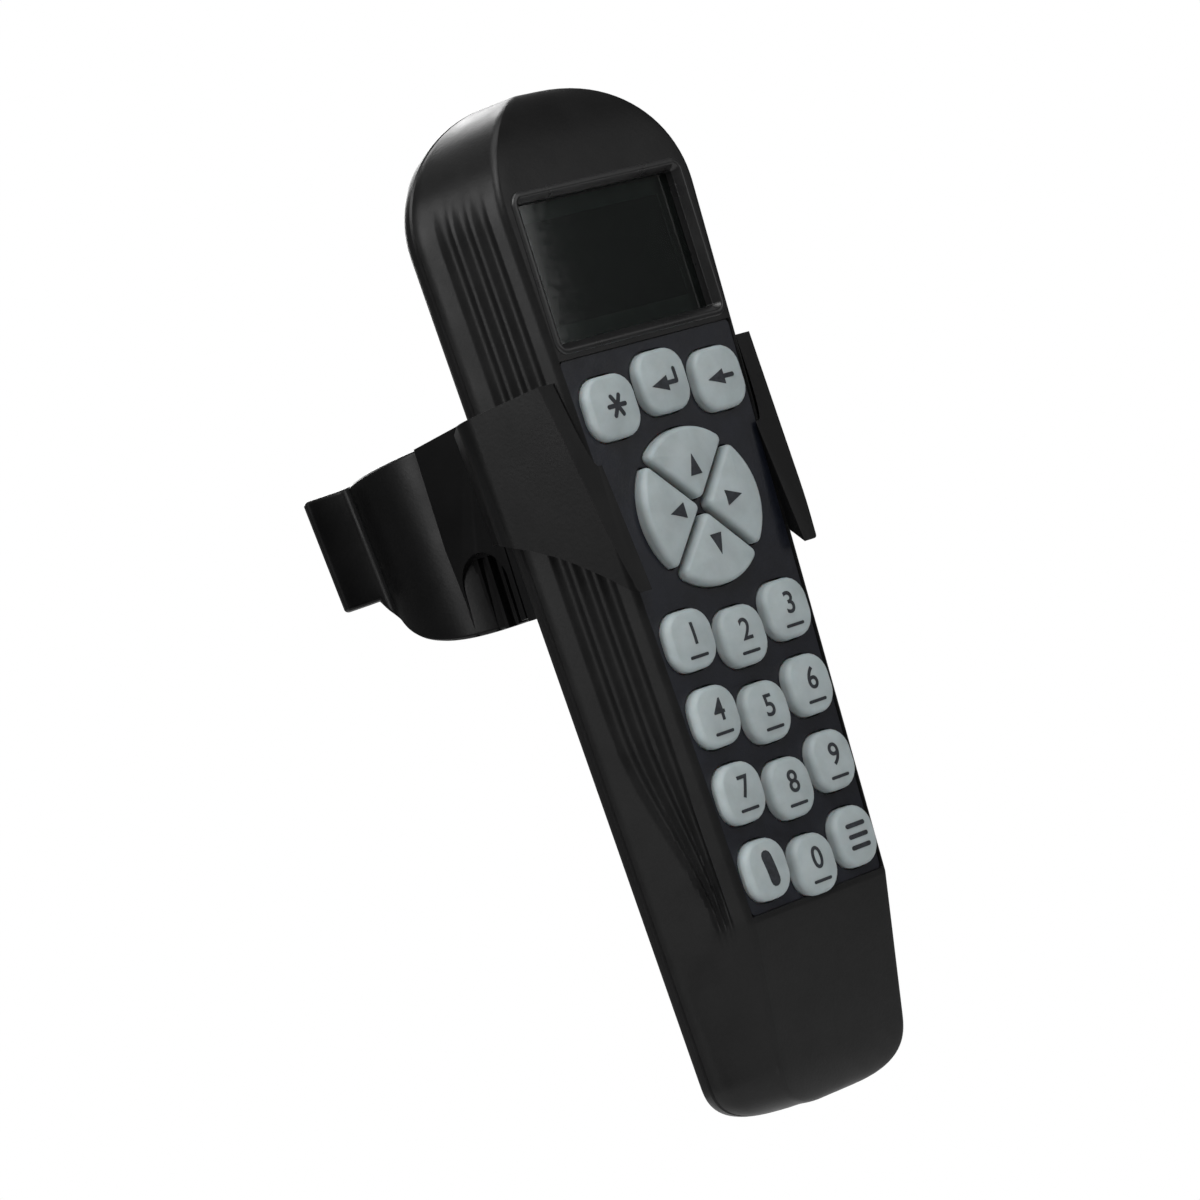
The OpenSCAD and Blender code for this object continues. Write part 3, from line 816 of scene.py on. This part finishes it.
def holder_cradle():
    cradle = body_form("holder_cradle_shell", SLACK + CRADLE_WALL, LEVEL - 20, LEVEL + 40)
    side = side_form("profile", cradle_profile(), -45, 45)
    tab = box_form("tab", (-TAB_HALF, BACK_Y - 1, TAB_LOW), (TAB_HALF, BACK_Y + 5, LEVEL + 8))
    combine(side, tab, "UNION")
    combine(cradle, side, "INTERSECT")
    combine(cradle, body_form("pocket", SLACK, LEVEL - 40, LEVEL + 60), "DIFFERENCE")
    opening = box_form("opening", (-LIP_HALF, FRONT_Y - 10, -80), (LIP_HALF, FRONT_Y + 10, 80))
    combine(cradle, opening, "DIFFERENCE")
    bevelled(cradle, EDGE, 3, 34)
    outline = tongue_outline(0.0, CRADLE_BACK - 0.6)
    tongue = loft("tongue", [[(x, y, z) for x, y in outline] for z in (TONGUE_LOW, TONGUE_HIGH)], "caps")
    bevelled(tongue, 0.25, 2)
    combine(cradle, tongue, "UNION")
    return shade(cradle, 32)


LEG_R = 16.0
RING_WALL = 3.4
BAND_EDGE = 0.8
LEAN = math.radians(6)
# Top and bottom of the band in the leg's own frame, and the lips' height
RING_TOP, RING_LOW, LIP_H = 17.0, -18.0, 20.8
# Angles from the front to the gap's edge and to the start of a lip's bend
OPENING, BEND_AT = math.radians(130), math.radians(118)
LIP_BEND = 3.2
LIP_T = 2.6
LIP_REACH = 27.2
LIP_CURL = 0.9


def leg_to_row(point):
    """From the leg's own frame to the row frame."""
    x, y, z = point
    c, s = math.cos(LEAN), math.sin(LEAN)
    return x, c * y + s * z, c * z - s * y


def ring_low(y):
    """Lower edge of the clamp, which drops from the lips towards the handset."""
    lip_y = (LEG_R + RING_WALL) * math.cos(math.pi - OPENING) - 1
    lip_z = RING_TOP - LIP_H
    across = min(1.0, max(0.0, (lip_y - y) / 30))
    return lip_z + (RING_LOW - lip_z) * math.sqrt(1 - (1 - across) ** 2)


def ring_path():
    """The band's middle line from its front to a lip's end: (point, outward normal, thickness)."""
    mean = LEG_R + RING_WALL / 2
    rows = []
    for i in range(57):
        a = BEND_AT * i / 56
        out = Vector((math.sin(a), -math.cos(a)))
        rows.append((out * mean, out, RING_WALL))
    radial = Vector((math.sin(BEND_AT), -math.cos(BEND_AT)))
    along = Vector((math.cos(BEND_AT), math.sin(BEND_AT)))
    centre = radial * (mean + LIP_BEND)
    for i in range(1, 13):
        a = math.pi / 2 * i / 12
        away = -radial * math.cos(a) + along * math.sin(a)
        rows.append((centre + away * LIP_BEND, -away, mix(RING_WALL, LIP_T, i / 12)))
    start = centre + along * LIP_BEND
    length = LIP_REACH - start.length
    for i in range(1, 9):
        t = i / 8
        curl = -along * LIP_CURL * t * t
        rows.append((start + radial * length * t + curl, -along, LIP_T))
    return rows


def band_section(point, out, thick, inset=0.0):
    outer, inner = point + out * thick / 2, point - out * thick / 2
    return section(outer, inner, ring_low(outer.y), ring_low(inner.y), RING_TOP, inset)


def leg_clamp():
    rows = ring_path()
    right = [band_section(*row) for row in rows]
    end, out, thick = rows[-1]
    ahead = (end - rows[-2][0]).normalized()
    for k in range(1, 5):
        a = math.radians(90 * k / 4)
        beyond = end + ahead * BAND_EDGE * math.sin(a)
        right.append(band_section(beyond, out, thick, BAND_EDGE * (1 - math.cos(a))))
    left = [[(-x, y, z) for x, y, z in loop] for loop in right[1:]]
    loops = [[leg_to_row(p) for p in loop] for loop in left[::-1] + right]
    band = loft("leg_clamp_band", loops, "caps")
    return shade(combine(band, clamp_block(), "UNION"), 24)


BLOCK_HALF, BLOCK_DEPTH = 17.5, 14.4
# Radius, top, depth and distance behind the block's face of the arched recess
ARCH_R, ARCH_TOP, ARCH_DEPTH, ARCH_Y = 5.8, -2.4, 3.5, 7.1
# Thickness and height of the ribs in the recess, and the gaps between them
RIB, RIB_DEPTH, RIB_GAPS = 0.8, 1.6, 4
CLAMP_FACE = CRADLE_BACK + SLACK


def clamp_block():
    """Block between the band and the cradle: arched recesses in its sides and a slot for the tongue."""
    rear = CLAMP_FACE + BLOCK_DEPTH
    ys = [-34 + 0.5 * i for i in range(61)]
    samples = [leg_to_row((0, y, ring_low(max(y, -18.5)))) for y in ys]
    low = [(y, z) for _, y, z in samples if CLAMP_FACE < y < rear]
    low = [(CLAMP_FACE, low[0][1]), *low, (rear, low[-1][1])]
    high = [(y, (RING_TOP - y * math.sin(LEAN)) / math.cos(LEAN)) for y in (rear, CLAMP_FACE)]
    block = side_form("clamp_block", low + high, -BLOCK_HALF, BLOCK_HALF)
    middle, centre_z = CLAMP_FACE + ARCH_Y, ARCH_TOP - ARCH_R
    angles = [math.pi * i / 24 for i in range(25)]
    arch = [(middle + ARCH_R * math.cos(a), centre_z + ARCH_R * math.sin(a)) for a in angles]
    arch += [(middle - ARCH_R, -50), (middle + ARCH_R, -50)]
    pitch = (2 * ARCH_R - RIB) / RIB_GAPS
    for side in (-1, 1):
        floor_x, outside = side * (BLOCK_HALF - ARCH_DEPTH + RIB_DEPTH), side * (BLOCK_HALF + 4)
        combine(block, side_form("arch", arch, floor_x, outside), "DIFFERENCE")
    bevelled(block, 0.5, 3)
    for side in (-1, 1):
        x0, x1 = sorted((side * (BLOCK_HALF - ARCH_DEPTH), side * (BLOCK_HALF + 4)))
        for i in range(RIB_GAPS):
            y0 = middle - ARCH_R + RIB + pitch * i
            y1 = y0 + pitch - RIB
            far_y = max(abs(y0 - middle), abs(y1 - middle))
            top = centre_z + math.sqrt(ARCH_R ** 2 - far_y ** 2) - 0.5
            combine(block, box_form("rib_gap", (x0, y0, -50), (x1, y1, top)), "DIFFERENCE")
    slot = tongue_outline(SLACK, CLAMP_FACE - 1)
    combine(block, loft("slot", [[(x, y, z) for x, y in slot] for z in (-8, 40)], "caps"), "DIFFERENCE")
    bore_r = LEG_R + RING_WALL / 2
    ring = [(bore_r * math.cos(a), bore_r * math.sin(a)) for a in [math.tau * i / 96 for i in range(96)]]
    bore = loft("bore", [[leg_to_row((x, y, z)) for x, y in ring] for z in (-60, 60)], "caps")
    return combine(block, bore, "DIFFERENCE")


# ---- Materials ----

class Nodes:
    """A material's node tree with short ways to add and join nodes."""

    def __init__(self, name):
        self.material = bpy.data.materials.new(name)
        self.material.use_nodes = True
        self.tree = self.material.node_tree
        self.shader = self.tree.nodes["Principled BSDF"]
        self.place = self.add("TexCoord").outputs["Object"]

    def add(self, kind, **values):
        node = self.tree.nodes.new(f"ShaderNode{kind}")
        for key, value in values.items():
            if hasattr(node, key):
                setattr(node, key, value)
            else:
                node.inputs[key.replace("_", " ")].default_value = value
        return node

    def link(self, source, target):
        self.tree.links.new(source, target)

    def noise(self, scale, detail=3.0, stretch=(1, 1, 1)):
        """Noise over the object's own place; a scale of 1000 gives grains about a millimetre wide."""
        mapping = self.add("Mapping")
        mapping.inputs["Scale"].default_value = stretch
        self.link(self.place, mapping.inputs["Vector"])
        node = self.add("TexNoise", Scale=scale, Detail=detail)
        self.link(mapping.outputs["Vector"], node.inputs["Vector"])
        return node.outputs["Fac"]

    def ramp(self, source, low, high, start, end):
        """Maps a value between two limits onto a range."""
        node = self.add("MapRange")
        for socket, value in (("From Min", low), ("From Max", high), ("To Min", start), ("To Max", end)):
            node.inputs[socket].default_value = value
        self.link(source, node.inputs["Value"])
        return node.outputs["Result"]

    def blend(self, factor, a, b):
        """Mixes two colours, or a linked colour and a plain one."""
        node = self.add("Mix", data_type="RGBA")
        self.link(factor, node.inputs["Factor"])
        for socket, value in ((node.inputs[6], a), (node.inputs[7], b)):
            if isinstance(value, bpy.types.NodeSocket):
                self.link(value, socket)
            else:
                socket.default_value = (*value, 1.0)
        return node.outputs[2]

    def bump(self, height, depth, strength=1.0, after=None):
        """Bump whose full height is depth millimetres."""
        node = self.add("Bump", Strength=strength, Distance=depth * MM)
        self.link(height, node.inputs["Height"])
        if after is not None:
            self.link(after, node.inputs["Normal"])
        return node.outputs["Normal"]

    def edges(self, width=0.02):
        """High where the surface is a sharp outward edge."""
        point = self.add("NewGeometry").outputs["Pointiness"]
        return self.ramp(point, 0.5 + width, 0.5 + 4 * width, 0.0, 1.0)

    def finish(self, colour, roughness, normal=None, **numbers):
        self.link(colour, self.shader.inputs["Base Color"])
        self.link(roughness, self.shader.inputs["Roughness"])
        if normal is not None:
            self.link(normal, self.shader.inputs["Normal"])
        for key, value in numbers.items():
            self.shader.inputs[key.replace("_", " ")].default_value = value
        return self.material


def scaled(colour, factor):
    return tuple(c * factor for c in colour)


def moulded(name, colour, roughness, grain=0.5, depth=0.02, mottle=0.12, painted_edge_highlight=1.6, specular=0.5):
    """Moulded plastic: fine spark-eroded grain, faint flow marks and a painted highlight that lightens sharp
    edges.

    The grain's size and depth are in millimetres; mottle scales the colour, and the factor after it scales
    the colour of the painted highlight on sharp edges.
    """
    n = Nodes(name)
    fine = n.noise(1000 / grain, 2.0)
    broad = n.noise(90, 4.0)
    base = n.blend(n.ramp(broad, 0.3, 0.7, 0, 1), scaled(colour, 1 - mottle), scaled(colour, 1 + mottle))
    base = n.blend(n.ramp(fine, 0.35, 0.75, 0, 0.35), base, scaled(colour, 1.5))
    # Painted highlight: sharp outward edges get a lighter colour
    base = n.blend(n.edges(), base, scaled(colour, painted_edge_highlight))
    rough = n.ramp(n.noise(160, 3.0), 0.3, 0.7, roughness - 0.05, roughness + 0.06)
    normal = n.bump(fine, depth)
    normal = n.bump(broad, 0.05, 0.25, normal)
    return n.finish(base, rough, normal, Specular_IOR_Level=specular)


def key_rubber(name):
    """Pale grey silicone keys: soft mottling, a satin skin and fine grain."""
    n = Nodes(name)
    colour = (0.43, 0.48, 0.49)
    broad, fine = n.noise(260, 4.0), n.noise(3200, 2.0)
    base = n.blend(n.ramp(broad, 0.3, 0.7, 0, 1), scaled(colour, 0.9), scaled(colour, 1.08))
    base = n.blend(n.ramp(fine, 0.6, 0.8, 0, 0.25), base, scaled(colour, 0.75))
    rough = n.ramp(broad, 0.3, 0.7, 0.42, 0.54)
    normal = n.bump(fine, 0.012)
    normal = n.bump(n.noise(700, 3.0), 0.02, 0.6, normal)
    return n.finish(base, rough, normal, Subsurface_Weight=0.08, Specular_IOR_Level=0.45)


def film(name):
    """Printed panel film: bluish black with a fine pebble texture."""
    n = Nodes(name)
    colour = (0.006, 0.0072, 0.012)
    cells = n.add("TexVoronoi", Scale=2300.0)
    n.link(n.place, cells.inputs["Vector"])
    pebble = cells.outputs["Distance"]
    base = n.blend(n.ramp(n.noise(220, 4.0), 0.3, 0.7, 0, 1), scaled(colour, 0.75), scaled(colour, 1.35))
    rough = n.ramp(n.noise(500, 3.0), 0.3, 0.7, 0.32, 0.44)
    return n.finish(base, rough, n.bump(pebble, 0.014), Specular_IOR_Level=0.4)


def lens(name):
    """Smoked window: clear, tinted and nearly smooth."""
    n = Nodes(name)
    tint = (0.12, 0.145, 0.135)
    base = n.blend(n.ramp(n.noise(70, 2.0), 0.3, 0.7, 0, 1), scaled(tint, 0.93), tint)
    rough = n.ramp(n.noise(900, 4.0), 0.35, 0.75, 0.03, 0.07)
    normal = n.bump(n.noise(60, 1.0), 0.01, 0.3)
    return n.finish(base, rough, normal, Transmission_Weight=0.95, IOR=1.49, Specular_IOR_Level=0.12)


def display(name):
    """Dark liquid crystal glass with two rows of sixteen faint character cells."""
    n = Nodes(name)
    colour = (0.015, 0.022, 0.019)
    mapping = n.add("Mapping")
    mapping.inputs["Rotation"].default_value = (math.pi / 2, 0, 0)
    mapping.inputs["Location"].default_value = (0, 0, 0)
    n.link(n.place, mapping.inputs["Vector"])
    cells = n.add("TexBrick", Scale=1000.0, offset=0.0)
    cells.inputs["Mortar Size"].default_value = 0.35
    cells.inputs["Brick Width"].default_value = 2.15
    cells.inputs["Row Height"].default_value = 5.6
    cells.inputs["Color1"].default_value = (*scaled(colour, 0.8), 1)
    cells.inputs["Color2"].default_value = (*scaled(colour, 0.86), 1)
    cells.inputs["Mortar"].default_value = (*colour, 1)
    n.link(mapping.outputs["Vector"], cells.inputs["Vector"])
    base = n.blend(n.ramp(n.noise(120, 3.0), 0.3, 0.7, 0, 0.5), cells.outputs["Color"], scaled(colour, 1.25))
    rough = n.ramp(n.noise(300, 3.0), 0.3, 0.7, 0.16, 0.24)
    return n.finish(base, rough, n.bump(n.noise(400, 2.0), 0.004), Specular_IOR_Level=0.2)


def metal(name, colour, roughness, stretch=(1, 1, 14)):
    """Rolled or plated metal with fine drawn lines and small stains."""
    n = Nodes(name)
    lines = n.noise(900, 3.0, stretch)
    stains = n.noise(300, 4.0)
    base = n.blend(n.ramp(stains, 0.45, 0.75, 0, 1), colour, scaled(colour, 0.72))
    rough = n.ramp(lines, 0.3, 0.7, roughness - 0.08, roughness + 0.1)
    return n.finish(base, rough, n.bump(lines, 0.008), Metallic=1.0)


def circuit(name):
    """Solder mask over copper tracks."""
    n = Nodes(name)
    green, track = (0.008, 0.075, 0.035), (0.02, 0.15, 0.06)
    mapping = n.add("Mapping")
    mapping.inputs["Rotation"].default_value = (math.pi / 2, 0, 0)
    n.link(n.place, mapping.inputs["Vector"])
    tracks = n.add("TexBrick", Scale=1000.0)
    tracks.inputs["Mortar Size"].default_value = 0.22
    tracks.inputs["Brick Width"].default_value = 3.4
    tracks.inputs["Row Height"].default_value = 1.3
    n.link(mapping.outputs["Vector"], tracks.inputs["Vector"])
    base = n.blend(tracks.outputs["Fac"], green, track)
    base = n.blend(n.ramp(n.noise(400, 3.0), 0.4, 0.7, 0, 0.4), base, scaled(green, 0.6))
    rough = n.ramp(n.noise(700, 3.0), 0.3, 0.7, 0.28, 0.42)
    return n.finish(base, rough, n.bump(tracks.outputs["Fac"], 0.03))


def ink(name):
    n = Nodes(name)
    colour = (0.012, 0.014, 0.018)
    base = n.blend(n.ramp(n.noise(1500, 3.0), 0.35, 0.75, 0, 1), colour, scaled(colour, 2.2))
    rough = n.ramp(n.noise(900, 2.0), 0.3, 0.7, 0.45, 0.6)
    return n.finish(base, rough, n.bump(n.noise(2500, 2.0), 0.006))


def floor_paint(name):
    n = Nodes(name)
    colour = (0.82, 0.82, 0.82)
    base = n.blend(n.ramp(n.noise(6, 3.0), 0.3, 0.7, 0, 1), scaled(colour, 0.985), colour)
    rough = n.ramp(n.noise(40, 3.0), 0.3, 0.7, 0.7, 0.8)
    return n.finish(base, rough, n.bump(n.noise(900, 2.0), 0.02))


CASE_BLACK, HOLDER_BLACK = (0.006, 0.006, 0.0061), (0.0045, 0.0045, 0.0046)
MATERIALS = {
    "case_plastic": moulded("case_plastic", CASE_BLACK, 0.4, 0.55, 0.02, specular=0.3),
    "panel_film": film("panel_film"),
    "bezel_plastic": moulded("bezel_plastic", (0.011, 0.011, 0.0112), 0.3, 0.7, 0.008, painted_edge_highlight=2.2),
    "window_plastic": lens("window_plastic"),
    "lcd_glass": display("lcd_glass"),
    "sheet_steel": metal("sheet_steel", (0.42, 0.43, 0.43), 0.34),
    "light_guide": moulded("light_guide", (0.72, 0.72, 0.7), 0.4, 0.8, 0.01, 0.05, 1.05),
    "circuit_board": circuit("circuit_board"),
    "header_plastic": moulded("header_plastic", (0.015, 0.015, 0.015), 0.5),
    "ribbon_film": moulded("ribbon_film", (0.36, 0.2, 0.06), 0.35, 0.8, 0.01),
    "screw_steel": metal("screw_steel", (0.38, 0.38, 0.39), 0.3, (1, 1, 1)),
    "chip_plastic": moulded("chip_plastic", (0.018, 0.018, 0.019), 0.55, 0.3),
    "can_aluminium": metal("can_aluminium", (0.62, 0.62, 0.63), 0.28, (1, 14, 1)),
    "contact_gold": metal("contact_gold", (0.75, 0.52, 0.2), 0.22, (1, 1, 8)),
    "silicone": moulded("silicone", (0.33, 0.35, 0.35), 0.5, 0.4, 0.01, 0.08, 1.1),
    "socket_plastic": moulded("socket_plastic", (0.012, 0.012, 0.012), 0.38, 0.6, 0.01),
    "holder_plastic": moulded("holder_plastic", HOLDER_BLACK, 0.34, 0.6, 0.014, painted_edge_highlight=2.0, specular=0.18),
    "key_plastic": key_rubber("key_plastic"),
}
INK = ink("printed_ink")


def paint(obj, material):
    obj.data.materials.clear()
    obj.data.materials.append(material)


def settle(piece, body, slot, *nodes):
    """Puts a finished piece on its body in place of CAD nodes, with its slot's material."""
    paint(piece, MATERIALS[slot])
    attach(piece, body)
    if nodes:
        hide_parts(*nodes)


# ---- The object ----

settle(front_shell(), "handset", "case_plastic", "front_shell")
settle(rear_shell(), "handset", "case_plastic", "rear_shell")
settle(window_bezel(), "handset", "bezel_plastic", "window_bezel")
settle(key_panel(), "handset", "panel_film", "key_panel")
settle(holder_cradle(), "holder", "holder_plastic", "holder_cradle")
settle(leg_clamp(), "leg_clamp", "holder_plastic", "leg_clamp")
for key in [*ROW_KEYS, *PAD_TURNS]:
    settle(key_piece(key), key, "key_plastic", key)
for mark, key in key_marks():
    paint(mark, INK)
    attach(mark, key)

replaced = {"front_shell", "rear_shell", "window_bezel", "key_panel", "holder_cradle", "leg_clamp"}
replaced |= {*ROW_KEYS, *PAD_TURNS}
for row in frame["record"]["subparts"]:
    if row["node"] not in replaced:
        paint(frame["nodes"][row["node"]], MATERIALS[row["material_slot"]])


# ---- Floor, light and camera ----

# The floor's radius, and how far it lies below the object
FLOOR_R, FLOOR_DROP = 620.0, 160.0


def stage_floor():
    """A pale round floor below the object, which the photograph's angle doesn't show."""
    rings, steps = 10, 96
    points = [(0, 0, BOTTOM_Z - FLOOR_DROP)]
    for i in range(1, rings + 1):
        points += [(x, y, BOTTOM_Z - FLOOR_DROP) for x, y in ring_outline(FLOOR_R * i / rings, steps)]
    faces = [(0, 1 + j, 1 + (j + 1) % steps) for j in range(steps)]
    for i in range(rings - 1):
        low, high = 1 + i * steps, 1 + (i + 1) * steps
        faces += [(low + j, high + j, high + (j + 1) % steps, low + (j + 1) % steps) for j in range(steps)]
    floor = mesh_from("studio_floor", points, faces)
    paint(floor, floor_paint("floor_paint"))


def world_light(seen, lit):
    """White surroundings for the camera, and dimmer even light on everything else."""
    world = bpy.data.worlds.new("studio")
    world.use_nodes = True
    bpy.context.scene.world = world
    tree = world.node_tree
    tree.nodes.clear()
    path = tree.nodes.new("ShaderNodeLightPath")
    outside, inside = tree.nodes.new("ShaderNodeBackground"), tree.nodes.new("ShaderNodeBackground")
    for node, strength in ((outside, seen), (inside, lit)):
        node.inputs["Color"].default_value = (1, 1, 1, 1)
        node.inputs["Strength"].default_value = strength
    choose = tree.nodes.new("ShaderNodeMixShader")
    out = tree.nodes.new("ShaderNodeOutputWorld")
    tree.links.new(path.outputs["Is Camera Ray"], choose.inputs[0])
    tree.links.new(inside.outputs[0], choose.inputs[1])
    tree.links.new(outside.outputs[0], choose.inputs[2])
    tree.links.new(choose.outputs[0], out.inputs[0])


def towards(azimuth, elevation):
    """Direction from the object to a viewer; azimuth 0 faces the keys."""
    a, e = math.radians(azimuth), math.radians(elevation)
    return Vector((math.sin(a) * math.cos(e), -math.cos(a) * math.cos(e), math.sin(e)))


def softbox(name, azimuth, elevation, distance, width, height, power):
    """Area light that faces the object's middle."""
    data = bpy.data.lights.new(name, "AREA")
    data.shape = "RECTANGLE"
    data.size, data.size_y = width, height
    data.energy = power
    lamp = bpy.data.objects.new(name, data)
    bpy.context.scene.collection.objects.link(lamp)
    back = towards(azimuth, elevation)
    middle = (cad_box[0] + cad_box[1]) / 2
    lamp.location = middle + back * distance
    lamp.rotation_mode = "QUATERNION"
    lamp.rotation_quaternion = (-back).to_track_quat("-Z", "Y")


VIEW_AZIMUTH, VIEW_ELEVATION, VIEW_ROLL = -44.0, 0.0, 17.4
LENS, SENSOR = 150.0, 36.0
# Part of the picture's height that the object fills
FILL = 0.84


def studio_camera():
    """Camera at the photograph's angle, which frames the whole object."""
    data = bpy.data.cameras.new("camera")
    data.lens, data.sensor_width = LENS, SENSOR
    camera = bpy.data.objects.new("camera", data)
    bpy.context.scene.collection.objects.link(camera)
    back, roll = towards(VIEW_AZIMUTH, VIEW_ELEVATION), math.radians(VIEW_ROLL)
    level = Vector((0, 0, 1)).cross(back).normalized()
    rise = back.cross(level)
    up = rise * math.cos(roll) + level * math.sin(roll)
    right = up.cross(back)
    points = [v.co for node in frame["nodes"].values() for v in node.data.vertices]
    across, tall, deep = ([p.dot(axis) for p in points] for axis in (right, up, back))
    middle = right * (min(across) + max(across)) / 2 + up * (min(tall) + max(tall)) / 2
    middle += back * (min(deep) + max(deep)) / 2
    extent = max(max(across) - min(across), max(tall) - min(tall))
    distance = extent / FILL / (SENSOR / LENS)
    turn = Matrix((right, up, back)).transposed().to_4x4()
    camera.matrix_world = Matrix.Translation(middle + back * distance) @ turn
    data.clip_start, data.clip_end = 0.01, 50
    bpy.context.scene.camera = camera


stage_floor()
world_light(1.0, 0.09)
softbox("key_light", -90, 24, 0.9, 0.3, 0.75, 3.6)
softbox("front_light", -30, 42, 1.0, 0.5, 0.5, 4.4)
softbox("fill_light", 30, 15, 1.1, 0.5, 0.6, 1.4)
softbox("rim_light", 150, 30, 0.9, 0.4, 0.7, 5.0)
softbox("top_light", -20, 82, 0.9, 0.6, 0.6, 2.2)
studio_camera()
bpy.context.scene.view_settings.view_transform = "Standard"
